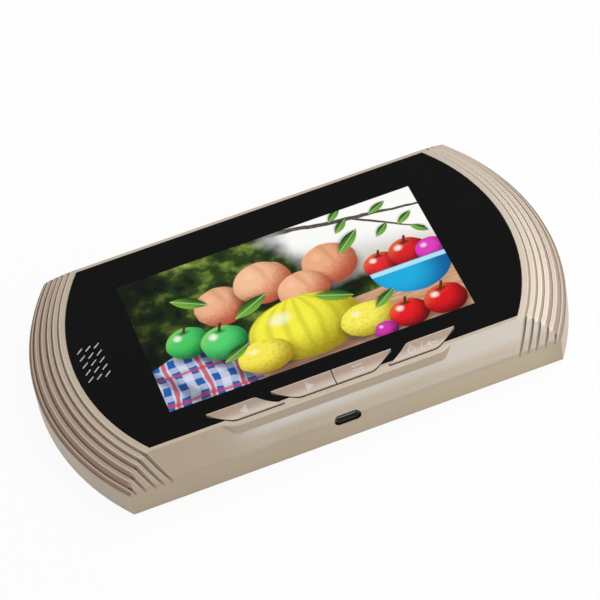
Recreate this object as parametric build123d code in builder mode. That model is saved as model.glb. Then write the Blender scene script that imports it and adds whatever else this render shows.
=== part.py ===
import os
from math import sqrt

from build123d import *

os.makedirs("parts", exist_ok=True)

# Indoor monitor of a peephole door camera, lying on its back.
# All sizes are in millimetres. +X runs to the right, +Y to the top edge of the screen,
# +Z out of the screen. The origin is the centre of the back plane.

overrun = 3.0  # how far a cut runs past the piece

# Display: a lit screen with a wider border along its top
screen_width = 95.04
screen_height = 53.86
border_side = 5.23
border_low = 4.52
border_high = 8.82
display_gap = 0.3
gasket_thickness = 0.3
gasket_inset = 0.2
gasket_clear = 0.6
panel_thickness = 1.2
panel_gap = 0.1
backlight_thickness = 1.4
frame_sheet = 0.4
frame_lip = 0.3  # the panel stands this far out of its frame

# Speaker and its grille
speaker_y = 0.3
speaker_width = 11.0
speaker_height = 15.0
speaker_depth = 3.2
speaker_rim = 1.0
cone_depth = 1.2
cone_angle = 45.0  # degrees
magnet_inset = 2.0
magnet_depth = 1.6
speaker_gasket_thickness = 0.4
speaker_clear = 2.65
collar_wall = 0.9
collar_depth = 2.2
collar_gap = 0.2
slot_length = 2.9
slot_width = 0.62
slot_angle = 39.5  # degrees
slot_pitch_x = 2.62
slot_pitch_y = 3.03
slot_columns = 3
slot_rows = 5
grille_skin = 0.35
mesh_width = 9.2
mesh_height = 15.4
mesh_round = 1.5
mesh_thickness = 0.5
mesh_gap = 0.1
mesh_margin = 1.75  # mesh to the end of the glass

# Front glass, with arcs about an upright axis at each end
glass_low = 9.82  # from the screen down to the edge of the glass
glass_high = 12.02
glass_thickness = 1.2
glass_gap = 0.12
glass_edge = 0.2
tape_thickness = 0.2
tape_inset = 0.4
end_axis = 2.0  # distance of that axis from the middle

# Outer form of the housing
rim_drop = 0.3  # the rim lies this far under the glass face
border_width = 1.25  # flat border round the glass
slant_run = 6.8
crease_height = 8.0
foot_draft = 0.2
border_round = 0.4
crease_round = 3.0
wall = 1.7
front_wall = 1.4

# Terraced ends
terrace_run = 13.0
lip_draft = 0.2
lip_shoulder = 0.5
root_half_width = 0.16
root_depth = 0.35
tread_fall_share = 0.22
# Each root: share of the run, share of the fall, share of the tread in the step before it
terrace_shares = [
    (0.19, 0.10, 0.85),
    (0.35, 0.22, 0.80),
    (0.50, 0.39, 0.74),
    (0.68, 0.60, 0.66),
    (0.86, 0.85, 0.58),
    (0.955, 1.0, 0.50),
]
wall_groove_width = 0.9
wall_groove_depth = 0.85

# Buttons, in two pairs
button_overhang = 1.45  # their lower edge lies this far below the glass
button_depth = 4.8
button_rise = 1.0  # the upper edge stands this far over the glass
button_low_rise = 0.1
button_scoop = 3.9  # radius of the hollow in the top
button_land = 0.3
button_gap = 0.3
button_slant = 7.4  # sideways run of a slanted end
split_gap = 0.3
middle_tip = 18.9  # outer tips of the middle pair
pair_gap = 4.6
side_length = 22.6
corner_round = 4.0
tip_round = 0.12
button_travel = 0.5
flange_thickness = 0.8
flange_clearance = 0.3
flange_reach = 1.0
flange_reach_low = 0.8
stem_width = 3.0

# Ledge that carries the buttons
ledge_lip = 1.47
ledge_flat_inset = 6.5
ledge_root_inset = 2.1
ledge_depth = 5.0
ledge_draft = 12.0  # degrees
ledge_bend = 5.0
ledge_edge_round = 0.4

# Tactile switches under the buttons
switch_side = 6.0
switch_height = 3.2
switch_clear = 0.25
plunger_width = 3.0
plunger_gap = 0.3
plunger_overlap = 1.2

# Main board
board_thickness = 1.2
board_edge = 2.9
board_margin = 0.5
board_overhang = 2.35
board_gap = 0.7
usb_tab_half = 8.0
board_boss_radius = 2.3
board_boss_clear = 0.55
board_screw_radius = 0.8
board_screw_length = 5.0
board_head_radius = 1.9
board_head_height = 1.1

# Charging socket
usb_width = 8.2  # opening in the wall
usb_height = 3.0
socket_width = 7.5
socket_height = 2.5
socket_depth = 5.0
socket_sheet = 0.3
socket_inset = 0.8
socket_round = 0.8
socket_slope = 1.0
tongue_width = 5.4
tongue_thickness = 0.6
tongue_inset = 0.7
tongue_drop = 0.25
tongue_base = 1.2
tongue_gap = 0.05

# Rear cover
cover_thickness = 2.0
cover_gap = 0.15
cover_edge = 0.3
housing_boss_inset = 8.85
housing_boss_radius = 3.0
boss_sides = 8
boss_spacing = 9.0  # from a boss of the cover down to the board's
housing_screw_radius = 1.1
housing_screw_length = 8.0
screw_head_radius = 2.2
screw_sink = 0.15
screw_gap = 0.05
countersink_angle = 90.0  # degrees
pilot_spare = 0.8

# Hook slots for the door bracket
hook_x = 38.0
hook_y = 22.0
hook_width = 3.6
hook_length = 10.0
upright = 90.0  # degrees

# Recess for the cable of the outdoor camera
recess_y = 8.0
recess_wall = 1.0
recess_gap = 0.2
plug_room = 7.5
plug_side_room = 4.0
cable_socket_width = 14.0
cable_socket_depth = 4.6
cable_socket_height = 2.9
cable_socket_wall = 0.7
cable_socket_gap = 0.3
cable_socket_pins = 8
cable_pin = 0.5
cable_pin_length = 2.6
cable_pin_pitch = 1.4

# Power switch at the back
power_x = 30.0
power_y = -24.0
power_width = 8.6
power_depth = 4.0
power_height = 2.0
power_edge = 0.3
power_travel = 2.5
power_channel = 1.5
knob_width = 3.4
knob_depth = 2.4
knob_sink = 0.3
knob_gap = 0.3
knob_flange = 0.55
knob_flange_reach = 0.8
knob_ridges = 3
knob_ridge_pitch = 0.95
knob_ridge_width = 0.35
knob_ridge_depth = 0.3
lever_width = 1.2
lever_depth = 0.9
lever_reach = 1.2

# Battery, display ribbon and chips
battery_width = 62.0
battery_height = 42.0
battery_thickness = 4.0
battery_y = -4.0
battery_round = 1.6
battery_pad = 0.3
battery_pad_width = 8.0
battery_pad_spacing = 40.0
battery_room = 1.15  # battery to the back of the display
ribbon_width = 24.0
ribbon_thickness = 0.25
ribbon_length = 12.0
ribbon_inset = 0.65
ribbon_bend = 1.6
ribbon_gap = 0.15
connector_inset = 5.2
connector_depth = 3.6
connector_height = 1.2
connector_side = 1.2
connector_cavity = 1.9
chip_thickness = 1.0
# Each chip: middle and size, as shares of the board's half width and of its lower edge
chip_shares = [
    (-0.375, -0.345, 0.20, 0.30),
    (-0.68, 0.10, 0.14, 0.25),
    (0.34, 0.64, 0.15, 0.15),
    (-0.07, -0.64, 0.10, 0.12),
]

# Levels, stacked up from the back plane
board_back = cover_thickness + 2 * knob_gap + knob_flange + power_height
board_face = board_back + board_thickness
battery_back = board_face + battery_pad
frame_back = battery_back + battery_thickness + battery_room
frame_floor = frame_back + frame_sheet
panel_back = frame_floor + backlight_thickness
panel_face = panel_back + panel_thickness
glass_back = panel_face + gasket_thickness
glass_face = glass_back + glass_thickness
rim_top = glass_face - rim_drop
seat = glass_back - tape_thickness
ceiling = seat - front_wall
flange_top = ceiling - flange_clearance
flange_bottom = flange_top - flange_thickness
well_floor = flange_bottom - button_travel - flange_clearance
switch_top = board_face + switch_height
plunger_top = switch_top + button_travel + plunger_gap
speaker_face = ceiling - speaker_gasket_thickness
usb_centre = board_face + socket_height / 2
power_face = board_back - power_height
skirt_top = board_back - recess_gap

# Places across the height of the screen, with zero in the middle of the glass
glass_half = (glass_low + screen_height + glass_high) / 2
screen_y = (glass_low - glass_high) / 2
border_half = glass_half + border_width
crease_half = border_half + slant_run
base_half = crease_half + foot_draft
button_bottom = glass_half + button_overhang
button_top = button_bottom - button_depth
button_y = -(button_top + button_bottom) / 2
ledge_half = button_bottom + button_gap + ledge_lip
display_low = screen_y - screen_height / 2 - border_low
display_top = screen_y + screen_height / 2 + border_high
display_y = (display_low + display_top) / 2
display_height = display_top - display_low
board_top = display_top + board_overhang
board_bottom = switch_side / 2 + board_margin - button_y
housing_boss_y = glass_half - housing_boss_inset
board_boss_y = housing_boss_y - boss_spacing
cover_half = crease_half - wall - cover_gap
recess_height = plug_room + cable_socket_depth + cable_socket_gap

# Places along the length
display_width = screen_width + 2 * border_side
collar_reach = collar_gap + collar_wall
speaker_x = display_width / 2 + display_gap + speaker_clear + collar_reach + speaker_width / 2
glass_radius = speaker_x + mesh_width / 2 + mesh_margin - end_axis
lip_radius = glass_radius + terrace_run
cover_radius = lip_radius - lip_draft - wall - cover_gap
board_boss_x = display_width / 2 + display_gap + board_boss_clear + board_boss_radius
board_half_width = board_boss_x + board_edge
housing_boss_x = board_half_width + board_gap + housing_boss_radius
side_tip = middle_tip - button_slant + pair_gap
row_tip = side_tip + side_length
recess_width = cable_socket_width + 2 * plug_side_room

# Roots of the terraces: radius about the axis, and height
step_fall = rim_top - crease_height
terrace_roots = [
    (glass_radius + run * terrace_run, rim_top - fall * step_fall) for run, fall, _ in terrace_shares
]


def save(part, name):
    part.label = name
    export_step(part, f"parts/{name}.step")


def end_outline(half_height, end_radius):
    # Straight top and bottom edges, with an arc about the axis of each end.
    corner = end_axis + sqrt(end_radius**2 - half_height**2)
    with BuildSketch() as outline:
        with BuildLine():
            Line((0, half_height), (corner, half_height))
            ThreePointArc((corner, half_height), (end_axis + end_radius, 0), (corner, -half_height))
            Line((corner, -half_height), (0, -half_height))
            mirror(about=Plane.YZ)
        make_face()
    return outline.sketch


def button_outline(name, grow):
    # Slanted ends with a sharp tip at one corner and a broad bend at the other.
    if name in ("left_button", "power_button"):
        corners = [
            (side_tip + button_slant, -button_top),
            (row_tip, -button_top),
            (row_tip - button_slant, -button_bottom),
            (side_tip, -button_bottom),
        ]
        bends, tips = (0, 2), (1, 3)
    else:
        corners = [
            (split_gap / 2, -button_top),
            (middle_tip, -button_top),
            (middle_tip - button_slant, -button_bottom),
            (split_gap / 2, -button_bottom),
        ]
        bends, tips = (2,), (0, 1, 3)
    side = -1 if name in ("left_button", "right_button") else 1
    corners = [(side * x, y) for x, y in corners]
    with BuildSketch() as outline:
        with BuildLine():
            Polyline(*corners, close=True)
        make_face()
        for group, radius in ((bends, corner_round), (tips, tip_round)):
            places = [corners[i] for i in group]
            fillet([v for v in outline.vertices() if near_any(v, places)], radius)
        if grow:
            offset(amount=grow)
    return outline.sketch


def near_any(vertex, places):
    return any((vertex.X - x) ** 2 + (vertex.Y - y) ** 2 < (tip_round / 4) ** 2 for x, y in places)


def flange_span(name):
    # Stretch of the button that is straight along both edges.
    if name in ("left_button", "power_button"):
        return side_tip + button_slant, row_tip - button_slant
    return split_gap / 2, middle_tip - button_slant


button_names = ("left_button", "right_button", "menu_button", "power_button")
button_side = {"left_button": -1, "right_button": -1, "menu_button": 1, "power_button": 1}
button_x = {name: button_side[name] * sum(flange_span(name)) / 2 for name in button_names}
# The stems of the middle pair stand clear of the charging socket.
middle_stem = (socket_width + switch_side) / 2 + switch_clear
stem_x = {**button_x, "right_button": -middle_stem, "menu_button": middle_stem}
stem_places = [(x, button_y) for x in stem_x.values()]


# Terraced ends: a stepped outline is turned half a turn about the axis of the end.
def terrace_points():
    points = [(0, 0), (0, rim_top), (glass_radius, rim_top)]
    last_radius, last_height = glass_radius, rim_top
    for (radius, height), (_, _, tread) in zip(terrace_roots, terrace_shares):
        run, fall = radius - root_half_width - last_radius, last_height - height
        points.append((last_radius + tread * run, last_height - tread_fall_share * fall))
        points.append((radius, height - root_depth))
        points.append((radius + root_half_width, height))
        last_radius, last_height = radius + root_half_width, height
    points.append((lip_radius - lip_draft, crease_height - lip_shoulder))
    points.append((lip_radius, 0))
    return points


def chord_points():
    # The chord of the terraces, a wall's thickness larger than the hollow all round.
    return [
        (-wall, -wall - overrun),
        (-wall, ceiling + wall),
        (terrace_roots[0][0], ceiling + wall),
        terrace_roots[2],
        terrace_roots[-1],
        (lip_radius - lip_draft, crease_height - lip_shoulder),
        (lip_radius - lip_draft, -wall - overrun),
    ]


def end_envelope(points, inset):
    low, high = points[0][1] + inset, points[1][1] - inset
    turning = Plane(origin=(end_axis, 0, 0), x_dir=(0, -1, 0), z_dir=(-1, 0, 0))
    with BuildPart() as envelope:
        with BuildSketch(turning):
            with BuildLine():
                Polyline(*points, close=True)
            make_face()
            if inset:
                offset(amount=-inset, kind=Kind.INTERSECTION)
        revolve(axis=Axis((end_axis, 0, 0), (0, 0, 1)), revolution_arc=180)
        with BuildSketch(Plane.XY.offset(low)):
            with Locations((end_axis / 2, 0)):
                Rectangle(end_axis, 2 * lip_radius)
        extrude(amount=high - low)
        mirror(about=Plane.YZ)
    return envelope.part


def wall_section(top, bottom, inset):
    # Slanted upper faces, a soft crease and an upright foot, in the plane of Y and Z.
    top_half = border_half + (rim_top - top) * (crease_half - border_half) / step_fall
    with BuildSketch() as section:
        with BuildLine():
            Polyline(
                (-base_half, bottom),
                (-base_half, 0),
                (-crease_half, crease_height),
                (-top_half, top),
                (top_half, top),
                (crease_half, crease_height),
                (base_half, 0),
                (base_half, bottom),
                close=True,
            )
        make_face()
        if inset:
            offset(amount=-inset, kind=Kind.INTERSECTION)
        else:
            fillet(section.vertices().group_by(Axis.Y)[-2], crease_round)
            fillet(section.vertices().group_by(Axis.Y)[-1], border_round)
    return section.sketch


with BuildPart() as outer_form:
    with BuildSketch(Plane.YZ):
        add(wall_section(rim_top, -overrun, 0))
    extrude(amount=end_axis + lip_radius + overrun, both=True)
    add(end_envelope(terrace_points(), 0), mode=Mode.INTERSECT)

with BuildPart() as hollow:
    # The same form, drawn in by the wall and open at the back.
    with BuildSketch(Plane.YZ):
        add(wall_section(ceiling + wall, -wall - overrun, wall))
    extrude(amount=end_axis + lip_radius + overrun, both=True)
    add(end_envelope(chord_points(), wall), mode=Mode.INTERSECT)

with BuildPart() as ledge:
    inner_line = border_half - border_round
    ledge_flat, ledge_root = row_tip - ledge_flat_inset, row_tip - ledge_root_inset
    with BuildSketch(Plane.XY.offset(rim_top)) as ledge_plan:
        with BuildLine():
            Polyline(
                (-ledge_root - ledge_bend, -button_top),
                (-ledge_root - ledge_bend, -inner_line),
                (-ledge_root, -inner_line),
                (-ledge_flat, -ledge_half),
                (ledge_flat, -ledge_half),
                (ledge_root, -inner_line),
                (ledge_root + ledge_bend, -inner_line),
                (ledge_root + ledge_bend, -button_top),
                close=True,
            )
        make_face()
        fillet(ledge_plan.vertices().filter_by_position(Axis.X, -ledge_root, ledge_root), ledge_bend)
    extrude(amount=-ledge_depth, taper=-ledge_draft)
    fillet(ledge.edges().group_by(Axis.Z)[-1], ledge_edge_round)

with BuildPart() as wall_grooves:
    # Arcs about the axis of the end, which run on down the slanted walls and fade at the crease.
    with BuildSketch(Plane.XY.offset(crease_height)):
        with Locations((end_axis, 0)):
            for radius, _ in reversed(terrace_roots[:-1]):
                Circle(radius + wall_groove_width / 2)
                Circle(radius - wall_groove_width / 2, mode=Mode.SUBTRACT)
    extrude(amount=step_fall + overrun)
    slant_across = wall_groove_depth * sqrt((crease_half - border_half) ** 2 + step_fall**2) / step_fall
    with BuildSketch(Plane.YZ.offset(glass_radius / 2)):
        with BuildLine():
            Polyline(
                (-crease_half, crease_height),
                (-border_half + slant_across, rim_top),
                (-border_half + slant_across, rim_top + overrun),
                (-crease_half - overrun, rim_top + overrun),
                (-crease_half - overrun, crease_height),
                close=True,
            )
        make_face()
        mirror(about=Plane.YZ)
    extrude(amount=lip_radius, mode=Mode.INTERSECT)
    mirror(about=Plane.YZ)

with BuildPart() as button_wells:
    # Where the buttons pass through the glass, the tape and the housing.
    with BuildSketch(Plane.XY.offset(well_floor)):
        for name in button_names:
            add(button_outline(name, button_gap))
    extrude(amount=glass_face + overrun - well_floor)

with BuildPart() as flange_pockets:
    # Room for the flanges in the lower wall.
    reach = button_bottom + flange_reach_low + flange_clearance
    with BuildSketch(Plane.XY.offset(well_floor)):
        for name in button_names:
            low, high = flange_span(name)
            with Locations((button_x[name], -(button_top + reach) / 2)):
                Rectangle(high - low + 2 * flange_clearance, reach - button_top)
    extrude(amount=ceiling - well_floor)

board_screw_places = [(-board_boss_x, -board_boss_y), (board_boss_x, board_boss_y)]

with BuildPart() as front_housing:
    add(outer_form.part)
    add(ledge.part)
    add(wall_grooves.part, mode=Mode.SUBTRACT)
    add(hollow.part, mode=Mode.SUBTRACT)
    with BuildSketch(Plane.XY.offset(seat)):
        add(end_outline(glass_half + glass_gap, glass_radius + glass_gap))
    extrude(amount=overrun, mode=Mode.SUBTRACT)
    # Window of the display, and the port of the speaker with its collar
    with BuildSketch(Plane.XY.offset(ceiling - overrun)):
        with Locations((0, display_y)):
            Rectangle(display_width + 2 * display_gap, display_height + 2 * display_gap)
        with Locations((-speaker_x, speaker_y)):
            Rectangle(speaker_width - 2 * speaker_rim, speaker_height - 2 * speaker_rim)
    extrude(amount=overrun + front_wall + overrun, mode=Mode.SUBTRACT)
    with BuildSketch(Plane.XY.offset(ceiling - collar_depth)):
        with Locations((-speaker_x, speaker_y)):
            Rectangle(speaker_width + 2 * collar_reach, speaker_height + 2 * collar_reach)
            Rectangle(speaker_width + 2 * collar_gap, speaker_height + 2 * collar_gap, mode=Mode.SUBTRACT)
    extrude(amount=collar_depth)
    add(button_wells.part, mode=Mode.SUBTRACT)
    add(flange_pockets.part, mode=Mode.SUBTRACT)
    # Opening of the charging socket in the lower wall
    with BuildSketch(Plane.XZ.offset(crease_half - wall - overrun)):
        with Locations((0, usb_centre)):
            SlotOverall(usb_width, usb_height)
    extrude(amount=wall + foot_draft + 2 * overrun, mode=Mode.SUBTRACT)
    # Bosses of the rear cover and of the main board, with pilot bores
    with BuildSketch(Plane.XY.offset(cover_thickness)):
        with GridLocations(2 * housing_boss_x, 2 * housing_boss_y, 2, 2):
            RegularPolygon(housing_boss_radius, boss_sides)
    extrude(amount=ceiling - cover_thickness)
    with BuildSketch(Plane.XY.offset(board_face)):
        with Locations(*board_screw_places):
            RegularPolygon(board_boss_radius, boss_sides)
    extrude(amount=ceiling - board_face)
    with BuildSketch(Plane.XY.offset(cover_thickness)):
        with GridLocations(2 * housing_boss_x, 2 * housing_boss_y, 2, 2):
            Circle(housing_screw_radius + screw_gap)
    extrude(amount=screw_sink + housing_screw_length + pilot_spare - cover_thickness, mode=Mode.SUBTRACT)
    with BuildSketch(Plane.XY.offset(board_face)):
        with Locations(*board_screw_places):
            Circle(board_screw_radius + screw_gap)
    extrude(amount=board_screw_length - board_thickness + pilot_spare, mode=Mode.SUBTRACT)
save(front_housing.part, "front_housing")

with BuildPart() as front_glass:
    with BuildSketch(Plane.XY.offset(glass_back)):
        add(end_outline(glass_half, glass_radius))
    extrude(amount=glass_thickness)
    chamfer(front_glass.edges().group_by(Axis.Z)[-1], glass_edge)
    add(button_wells.part, mode=Mode.SUBTRACT)
    # Pocket of the grille's mesh, and its slots through the skin that is left
    with BuildSketch(Plane.XY.offset(glass_back)):
        with Locations((-speaker_x, speaker_y)):
            RectangleRounded(mesh_width + 2 * mesh_gap, mesh_height + 2 * mesh_gap, mesh_round + mesh_gap)
    extrude(amount=glass_thickness - grille_skin, mode=Mode.SUBTRACT)
    with BuildSketch(Plane.XY.offset(glass_face - grille_skin - grille_skin)):
        with Locations((-speaker_x, speaker_y)):
            with GridLocations(slot_pitch_x, slot_pitch_y, slot_columns, slot_rows):
                Rectangle(slot_length, slot_width, rotation=slot_angle)
    extrude(amount=2 * grille_skin + overrun, mode=Mode.SUBTRACT)
save(front_glass.part, "front_glass")

with BuildPart() as glass_tape:
    with BuildSketch(Plane.XY.offset(seat)):
        add(end_outline(glass_half - tape_inset, glass_radius - tape_inset))
        with Locations((0, display_y)):
            tape_reach = display_gap + tape_inset
            Rectangle(
                display_width + 2 * tape_reach, display_height + 2 * tape_reach, mode=Mode.SUBTRACT
            )
        with Locations((-speaker_x, speaker_y)):
            tape_reach = mesh_gap + tape_inset
            RectangleRounded(
                mesh_width + 2 * tape_reach,
                mesh_height + 2 * tape_reach,
                mesh_round + tape_reach,
                mode=Mode.SUBTRACT,
            )
        # It stops short of the row of buttons.
        with Locations((0, -(button_top - button_gap - tape_inset))):
            Rectangle(
                2 * (row_tip + button_gap + tape_inset),
                glass_half,
                align=(Align.CENTER, Align.MAX),
                mode=Mode.SUBTRACT,
            )
    extrude(amount=tape_thickness)
save(glass_tape.part, "glass_tape")

with BuildPart() as speaker_mesh:
    with BuildSketch(Plane.XY.offset(glass_face - grille_skin - mesh_thickness)):
        with Locations((-speaker_x, speaker_y)):
            RectangleRounded(mesh_width, mesh_height, mesh_round)
    extrude(amount=mesh_thickness)
save(speaker_mesh.part, "speaker_mesh")


# Buttons: a scooped cap with a flange that holds it in, and a stem to its switch.
def button_cap(name):
    low, high = flange_span(name)
    foot, crest = glass_face + button_low_rise, glass_face + button_rise
    with BuildPart() as cap:
        with BuildSketch(Plane.YZ):
            with BuildLine():
                Polyline(
                    (-button_bottom + button_land, foot),
                    (-button_bottom, foot),
                    (-button_bottom, flange_top),
                    (-button_top, flange_top),
                    (-button_top, crest),
                    (-button_top - button_land, crest),
                )
                scoop_low, scoop_high = -button_bottom + button_land, -button_top - button_land
                RadiusArc((scoop_low, foot), (scoop_high, crest), -button_scoop)
            make_face()
        extrude(amount=row_tip + overrun, both=True)
        with BuildSketch(Plane.XY.offset(flange_top)):
            add(button_outline(name, 0))
        extrude(amount=crest - flange_top + overrun, mode=Mode.INTERSECT)
        with BuildSketch(Plane.XY.offset(flange_bottom)):
            with Locations((button_x[name], button_y + (flange_reach - flange_reach_low) / 2)):
                Rectangle(high - low, button_bottom - button_top + flange_reach + flange_reach_low)
        extrude(amount=flange_thickness)
        with BuildSketch(Plane.XY.offset(plunger_top)):
            with Locations((stem_x[name], button_y)):
                Rectangle(stem_width, stem_width)
        extrude(amount=flange_bottom - plunger_top)
    return cap.part


def switch_plunger(name):
    with BuildPart() as plunger:
        with BuildSketch(Plane.XY.offset(switch_top - plunger_overlap)):
            with Locations((stem_x[name], button_y)):
                Rectangle(plunger_width, plunger_width)
        extrude(amount=plunger_top - switch_top + plunger_overlap)
    return plunger.part


for name in button_names:
    save(button_cap(name), name)
    save(switch_plunger(name), name.replace("button", "plunger"))

with BuildPart() as tact_switches:
    with BuildSketch(Plane.XY.offset(board_face)):
        with Locations(*stem_places):
            Rectangle(switch_side, switch_side)
    extrude(amount=switch_height)
    with BuildSketch(Plane.XY.offset(switch_top)):
        with Locations(*stem_places):
            Rectangle(plunger_width + 2 * plunger_gap, plunger_width + 2 * plunger_gap)
    extrude(amount=-(plunger_overlap + button_travel + plunger_gap), mode=Mode.SUBTRACT)
save(tact_switches.part, "tact_switches")

with BuildPart() as lcd_frame:
    with BuildSketch(Plane.XY.offset(frame_back)):
        with Locations((0, display_y)):
            Rectangle(display_width, display_height)
    extrude(amount=panel_face - frame_lip - frame_back)
    with BuildSketch(Plane.XY.offset(frame_floor)):
        with Locations((0, display_y)):
            Rectangle(display_width - 2 * frame_sheet, display_height - 2 * frame_sheet)
    extrude(amount=panel_face + overrun - frame_floor, mode=Mode.SUBTRACT)
save(lcd_frame.part, "lcd_frame")

panel_width = display_width - 2 * (frame_sheet + panel_gap)
panel_height = display_height - 2 * (frame_sheet + panel_gap)

with BuildPart() as lcd_backlight:
    with BuildSketch(Plane.XY.offset(frame_floor)):
        with Locations((0, display_y)):
            Rectangle(panel_width, panel_height)
    extrude(amount=backlight_thickness)
save(lcd_backlight.part, "lcd_backlight")

with BuildPart() as lcd_panel:
    with BuildSketch(Plane.XY.offset(panel_back)):
        with Locations((0, display_y)):
            Rectangle(panel_width, panel_height)
    extrude(amount=panel_thickness)
save(lcd_panel.part, "lcd_panel")

with BuildPart() as lcd_gasket:
    with BuildSketch(Plane.XY.offset(panel_face)):
        with Locations((0, display_y)):
            Rectangle(panel_width - 2 * gasket_inset, panel_height - 2 * gasket_inset)
        with Locations((0, screen_y)):
            Rectangle(
                screen_width + 2 * gasket_clear, screen_height + 2 * gasket_clear, mode=Mode.SUBTRACT
            )
    extrude(amount=gasket_thickness)
save(lcd_gasket.part, "lcd_gasket")

with BuildPart() as lcd_ribbon:
    # A flat cable on the back of the display, folded over into its connector.
    ribbon_turn = display_top - ribbon_inset
    connector_y = ribbon_turn - connector_inset
    upper = frame_back - ribbon_thickness / 2
    lower = board_face + connector_height / 2
    with BuildSketch(Plane.YZ.offset(-ribbon_width / 2)):
        with BuildLine():
            FilletPolyline(
                (ribbon_turn - ribbon_length, upper),
                (ribbon_turn, upper),
                (ribbon_turn, lower),
                (connector_y + connector_depth / 2 - connector_cavity + ribbon_gap, lower),
                radius=ribbon_bend,
            )
        trace(line_width=ribbon_thickness)
    extrude(amount=ribbon_width)
save(lcd_ribbon.part, "lcd_ribbon")

with BuildPart() as ribbon_connector:
    with BuildSketch(Plane.XY.offset(board_face)):
        with Locations((0, connector_y)):
            Rectangle(ribbon_width + 2 * connector_side, connector_depth)
    extrude(amount=connector_height)
    with BuildSketch(Plane.XZ.offset(-(connector_y + connector_depth / 2))):
        with Locations((0, lower)):
            Rectangle(ribbon_width + 2 * ribbon_gap, ribbon_thickness + 2 * ribbon_gap)
    extrude(amount=connector_cavity, mode=Mode.SUBTRACT)
save(ribbon_connector.part, "ribbon_connector")

with BuildPart() as main_board:
    tab_end = crease_half - wall - board_gap
    with BuildSketch(Plane.XY.offset(board_back)):
        with Locations((0, (board_top - board_bottom) / 2)):
            Rectangle(2 * board_half_width, board_top + board_bottom)
        with Locations((0, -tab_end)):
            Rectangle(2 * usb_tab_half, tab_end, align=(Align.CENTER, Align.MIN))
        with Locations(*board_screw_places):
            Circle(board_screw_radius + screw_gap, mode=Mode.SUBTRACT)
    extrude(amount=board_thickness)
save(main_board.part, "main_board")

with BuildPart() as board_chips:
    with BuildSketch(Plane.XY.offset(board_back)):
        for across, along, width, height in chip_shares:
            with Locations((across * board_half_width, along * board_bottom)):
                Rectangle(width * board_half_width, height * board_bottom)
    extrude(amount=-chip_thickness)
save(board_chips.part, "board_chips")


def socket_outline(inset):
    # Charging socket seen from outside: round upper corners and sloping lower ones.
    half_width, half_height = socket_width / 2 - inset, socket_height / 2 - inset
    with BuildSketch() as outline:
        Rectangle(2 * half_width, 2 * half_height)
        fillet(outline.vertices().group_by(Axis.Y)[-1], socket_round - inset)
        chamfer(outline.vertices().group_by(Axis.Y)[0], socket_slope - inset)
    return outline.sketch


socket_front = crease_half - socket_inset

with BuildPart() as usb_socket:
    with BuildSketch(Plane.XZ.offset(socket_front - socket_depth)):
        with Locations((0, usb_centre)):
            add(socket_outline(0))
    extrude(amount=socket_depth)
    with BuildSketch(Plane.XZ.offset(socket_front - socket_depth + socket_sheet)):
        with Locations((0, usb_centre)):
            add(socket_outline(socket_sheet))
    extrude(amount=socket_depth, mode=Mode.SUBTRACT)
save(usb_socket.part, "usb_socket")

with BuildPart() as usb_tongue:
    with BuildSketch(Plane.XZ.offset(socket_front - socket_depth + socket_sheet)):
        with Locations((0, usb_centre)):
            add(socket_outline(socket_sheet + tongue_gap))
    extrude(amount=tongue_base)
    with BuildSketch(Plane.XZ.offset(socket_front - socket_depth + socket_sheet)):
        with Locations((0, usb_centre + tongue_drop)):
            Rectangle(tongue_width, tongue_thickness)
    extrude(amount=socket_depth - socket_sheet - tongue_inset)
save(usb_tongue.part, "usb_tongue")

with BuildPart() as battery_pack:
    with BuildSketch(Plane.XY.offset(battery_back)):
        with Locations((0, battery_y)):
            Rectangle(battery_width, battery_height)
    extrude(amount=battery_thickness)
    fillet(battery_pack.edges().filter_by(Axis.X), battery_round)
save(battery_pack.part, "battery_pack")

with BuildPart() as battery_tape:
    with BuildSketch(Plane.XY.offset(board_face)):
        with Locations((0, battery_y)):
            with GridLocations(battery_pad_spacing, 0, 2, 1):
                Rectangle(battery_pad_width, battery_height - 2 * battery_round)
    extrude(amount=battery_pad)
save(battery_tape.part, "battery_tape")

with BuildPart() as speaker_frame:
    # A box with a flat rim and a cone sunk into its face.
    with BuildSketch(Plane.XY.offset(speaker_face - speaker_depth)):
        with Locations((-speaker_x, speaker_y)):
            Rectangle(speaker_width, speaker_height)
    extrude(amount=speaker_depth)
    with BuildSketch(Plane.XY.offset(speaker_face)):
        with Locations((-speaker_x, speaker_y)):
            Rectangle(speaker_width - 2 * speaker_rim, speaker_height - 2 * speaker_rim)
    extrude(amount=-cone_depth, taper=cone_angle, mode=Mode.SUBTRACT)
save(speaker_frame.part, "speaker_frame")

with BuildPart() as speaker_magnet:
    with BuildSketch(Plane.XY.offset(speaker_face - speaker_depth)):
        with Locations((-speaker_x, speaker_y)):
            Rectangle(speaker_width - 2 * magnet_inset, speaker_height - 2 * magnet_inset)
    extrude(amount=-magnet_depth)
save(speaker_magnet.part, "speaker_magnet")

with BuildPart() as speaker_gasket:
    with BuildSketch(Plane.XY.offset(speaker_face)):
        with Locations((-speaker_x, speaker_y)):
            Rectangle(speaker_width, speaker_height)
            Rectangle(
                speaker_width - 2 * speaker_rim, speaker_height - 2 * speaker_rim, mode=Mode.SUBTRACT
            )
    extrude(amount=speaker_gasket_thickness)
save(speaker_gasket.part, "speaker_gasket")

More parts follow.
